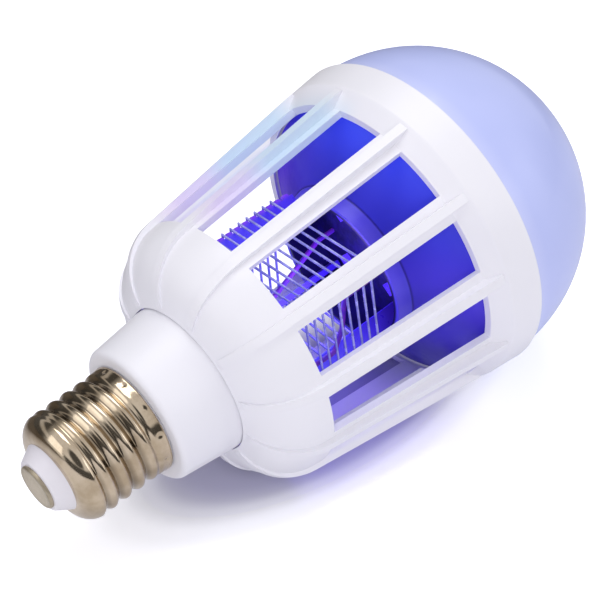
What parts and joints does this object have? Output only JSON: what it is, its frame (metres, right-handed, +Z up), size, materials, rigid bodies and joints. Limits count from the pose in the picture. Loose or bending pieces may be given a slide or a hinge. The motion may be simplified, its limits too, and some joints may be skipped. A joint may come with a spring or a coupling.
{
  "type": "insect killer light bulb",
  "caption": "Screw-cap insect killer bulb: a white slotted cage round a high-voltage wire grid lit by ultraviolet lamps, with a milky dome lamp at the far end.",
  "frame": {"origin": "centre of the bounding box on the floor, with the lamp lying on two ribs and the ring of its cage", "axes": "+X along the lamp from screw cap to dome, the axis rising 8.9 degrees towards the dome; +Z up"},
  "size_m": [0.1526, 0.0822, 0.0815],
  "materials": {
    "contact": "satin, lightly worn",
    "insulator": "smooth white",
    "shell": "bright nickel plating",
    "white_plastic": "glossy white moulding",
    "dish": "glossy white moulding lit blue-violet",
    "diffuser": "milky, satin",
    "former": "white moulding lit violet",
    "wire": "bright drawn wire",
    "screw": "zinc plated",
    "board": "white solder mask",
    "lamp": "yellow lamp chips",
    "plate": "plain sheet",
    "board_green": "green solder mask",
    "capacitor_sleeve": "black sleeve",
    "transformer": "taped winding",
    "film": "dipped coating",
    "diode": "moulded body",
    "lead": "insulated wire"
  },
  "bodies": {
    "lamp_body": {"centre_contact": "contact", "cap_insulator": "insulator", "screw_shell": "shell", "neck_housing": "white_plastic", "reflector_dish": "dish", "dome_diffuser": "diffuser", "grid_former": "former", "grid_wire_live": "wire", "grid_wire_return": "wire", "former_screws": "screw", "uv_board": "board", "uv_leds": "lamp", "heat_plate": "plate", "led_board": "board", "white_leds": "lamp", "board_screws": "screw", "driver_board": "board_green", "storage_capacitor": "capacitor_sleeve", "step_up_transformer": "transformer", "film_capacitors": "film", "rectifier_diodes": "diode", "contact_lead": "lead", "shell_lead": "lead", "lamp_leads": "lead", "board_leads": "lead"},
    "cage_body": {"cage": "white_plastic"}
  },
  "joints": [
    {"name": "cage_twist", "type": "hinge", "parent": "lamp_body", "child": "cage_body", "pos_m": [0.00349, 0, 0.03599], "axis": [0.9879, 0, 0.155], "range_deg": [0, 15]}
  ]
}
